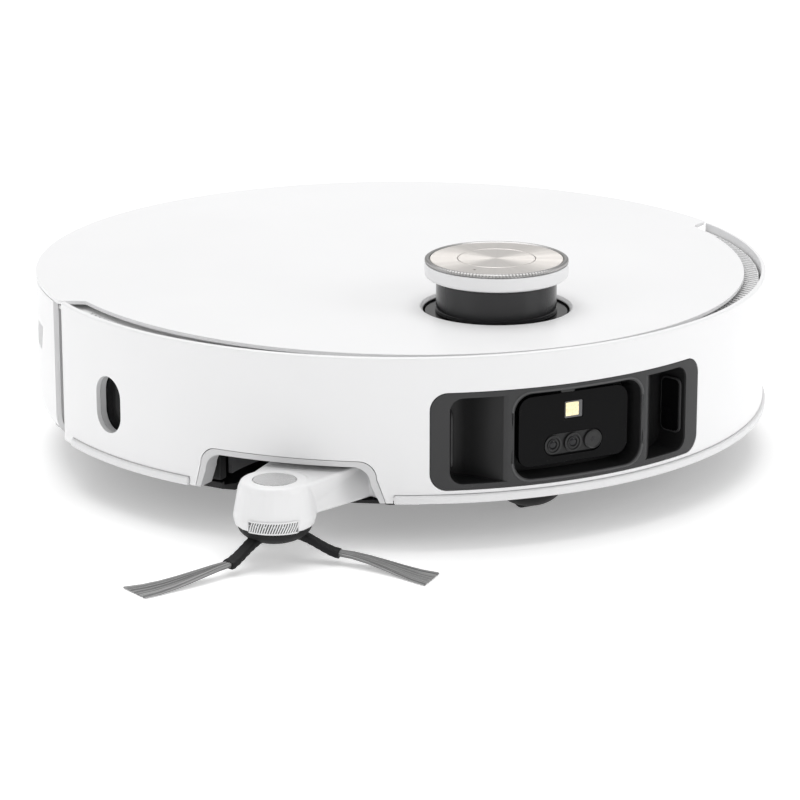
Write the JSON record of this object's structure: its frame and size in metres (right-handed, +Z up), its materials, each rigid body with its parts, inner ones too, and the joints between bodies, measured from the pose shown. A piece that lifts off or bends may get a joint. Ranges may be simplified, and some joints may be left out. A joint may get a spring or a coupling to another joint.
{
  "type": "robotic floor cleaner",
  "caption": "Round robotic floor cleaner with a raised laser turret, front camera window, side brush on a swing-out arm, suction roller and spinning mop pads.",
  "frame": {"origin": "on the floor, under the middle of the whole part's bounding box with its side brush swung out", "axes": "+Z up from the floor; the robot's front faces -Y; the side brush is on the -X side"},
  "size_m": [0.3834, 0.3766, 0.1106],
  "materials": {
    "white_shell": "satin",
    "light_trim": "satin",
    "dark_frame": "matte",
    "black_gloss": "gloss",
    "black_plastic": "matte",
    "grey_plastic": "matte",
    "champagne_metal": "radially brushed",
    "bright_metal": "satin",
    "black_rubber": "matte",
    "grey_bristle": "matte",
    "mop_cloth": "woven",
    "warm_light": "satin",
    "clear_tank": "gloss"
  },
  "bodies": {
    "base": {"floor_pan": "black_plastic", "rear_shell": "white_shell", "deck": "grey_plastic", "turret_well": "black_plastic", "charge_contact_left": "bright_metal", "charge_contact_right": "bright_metal", "dock_window": "black_gloss", "arm_guard": "grey_plastic", "mop_bay": "black_plastic", "caster_socket": "black_plastic", "roller_hood": "black_plastic", "roller_guard": "grey_plastic", "dust_bin": "clear_tank", "bin_cover": "grey_plastic", "water_tank": "clear_tank", "battery": "dark_frame", "suction_fan": "grey_plastic", "cliff_sensor_right": "black_gloss", "cliff_sensor_left": "black_gloss"},
    "lid": {"lid": "white_shell"},
    "bumper": {"bumper": "white_shell", "lip_right": "light_trim", "lip_left": "light_trim", "arch_trim": "light_trim", "window_frame": "dark_frame", "camera_housing": "black_plastic", "camera_glass": "black_gloss", "status_light": "warm_light", "lens_right": "black_gloss", "lens_middle": "black_gloss", "lens_left": "black_gloss", "side_sensor_right": "black_gloss", "side_sensor_left": "black_gloss"},
    "turret": {"turret_plate": "black_gloss", "turret_column": "black_plastic", "turret_cap": "white_shell", "turret_ring": "bright_metal", "turret_disc": "champagne_metal"},
    "turret_button": {"turret_button": "champagne_metal"},
    "laser_head": {"laser_rotor": "grey_plastic"},
    "brush_arm": {"brush_arm": "white_shell", "arm_disc": "bright_metal"},
    "side_brush": {"brush_rotor": "black_rubber", "bristles_right": "grey_bristle", "bristles_front": "grey_bristle", "bristles_back": "grey_bristle"},
    "caster_fork": {"caster_swivel": "black_plastic"},
    "caster_wheel": {"caster_wheel": "black_rubber"},
    "suspension_right": {"swing_arm_right": "grey_plastic"},
    "suspension_left": {"swing_arm_left": "grey_plastic"},
    "wheel_right": {"wheel_hub_right": "grey_plastic", "tyre_right": "black_rubber"},
    "wheel_left": {"wheel_hub_left": "grey_plastic", "tyre_left": "black_rubber"},
    "roller": {"main_roller": "black_rubber"},
    "mop_lift": {"mop_drive": "grey_plastic"},
    "mop_right": {"mop_plate_right": "grey_plastic", "mop_pad_right": "mop_cloth"},
    "mop_left": {"mop_plate_left": "grey_plastic", "mop_pad_left": "mop_cloth"}
  },
  "joints": [
    {"name": "lid_lift", "type": "slide", "parent": "base", "child": "lid", "axis": [0, 0, 1], "range_m": [0, 0.07]},
    {"name": "bumper_press", "type": "slide", "parent": "base", "child": "bumper", "axis": [0, 1, 0], "range_m": [0, 0.0015], "stiffness_N_per_m": 400, "springref_m": -0.002},
    {"name": "turret_lift", "type": "slide", "parent": "base", "child": "turret", "axis": [0, 0, 1], "range_m": [-0.022, 0]},
    {"name": "button_press", "type": "slide", "parent": "turret", "child": "turret_button", "axis": [0, 0, 1], "range_m": [-0.0005, 0], "stiffness_N_per_m": 600, "springref_m": 0.001},
    {"name": "laser_spin", "type": "hinge", "parent": "turret", "child": "laser_head", "pos_m": [0.01553, -0.08235, 0.09], "axis": [0, 0, 1], "continuous": true},
    {"name": "arm_swing", "type": "hinge", "parent": "base", "child": "brush_arm", "pos_m": [-0.06092, -0.12658, 0.02], "axis": [0, 0, 1], "range_deg": [-50, 0]},
    {"name": "side_brush_spin", "type": "hinge", "parent": "brush_arm", "child": "side_brush", "pos_m": [-0.11754, -0.12658, 0.012], "axis": [0, 0, 1], "continuous": true},
    {"name": "caster_swivel", "type": "hinge", "parent": "base", "child": "caster_fork", "pos_m": [0.01553, -0.11465, 0.02], "axis": [0, 0, 1], "continuous": true},
    {"name": "caster_roll", "type": "hinge", "parent": "caster_fork", "child": "caster_wheel", "pos_m": [0.01553, -0.11165, 0.007], "axis": [1, 0, 0], "continuous": true},
    {"name": "suspension_right", "type": "hinge", "parent": "base", "child": "suspension_right", "pos_m": [-0.08897, -0.02465, 0.044], "axis": [1, 0, 0], "range_deg": [-10, 0], "stiffness_Nm_per_rad": 0.8, "springref_deg": -18.33},
    {"name": "suspension_left", "type": "hinge", "parent": "base", "child": "suspension_left", "pos_m": [0.12003, -0.02465, 0.044], "axis": [1, 0, 0], "range_deg": [-10, 0], "stiffness_Nm_per_rad": 0.8, "springref_deg": -18.33},
    {"name": "wheel_spin_right", "type": "hinge", "parent": "suspension_right", "child": "wheel_right", "pos_m": [-0.10047, 0.02335, 0.036], "axis": [1, 0, 0], "continuous": true},
    {"name": "wheel_spin_left", "type": "hinge", "parent": "suspension_left", "child": "wheel_left", "pos_m": [0.13153, 0.02335, 0.036], "axis": [1, 0, 0], "continuous": true},
    {"name": "roller_spin", "type": "hinge", "parent": "base", "child": "roller", "pos_m": [0.01553, 0.00335, 0.0225], "axis": [1, 0, 0], "continuous": true},
    {"name": "mop_lift", "type": "slide", "parent": "base", "child": "mop_lift", "axis": [0, 0, 1], "range_m": [0, 0.006]},
    {"name": "mop_spin_right", "type": "hinge", "parent": "mop_lift", "child": "mop_right", "pos_m": [-0.04247, 0.11735, 0.02], "axis": [0, 0, 1], "continuous": true},
    {"name": "mop_spin_left", "type": "hinge", "parent": "mop_lift", "child": "mop_left", "pos_m": [0.07353, 0.11735, 0.02], "axis": [0, 0, 1], "continuous": true}
  ],
  "couplings": [
    {"joint": "mop_spin_left", "follows": "mop_spin_right", "ratio": -1}
  ]
}
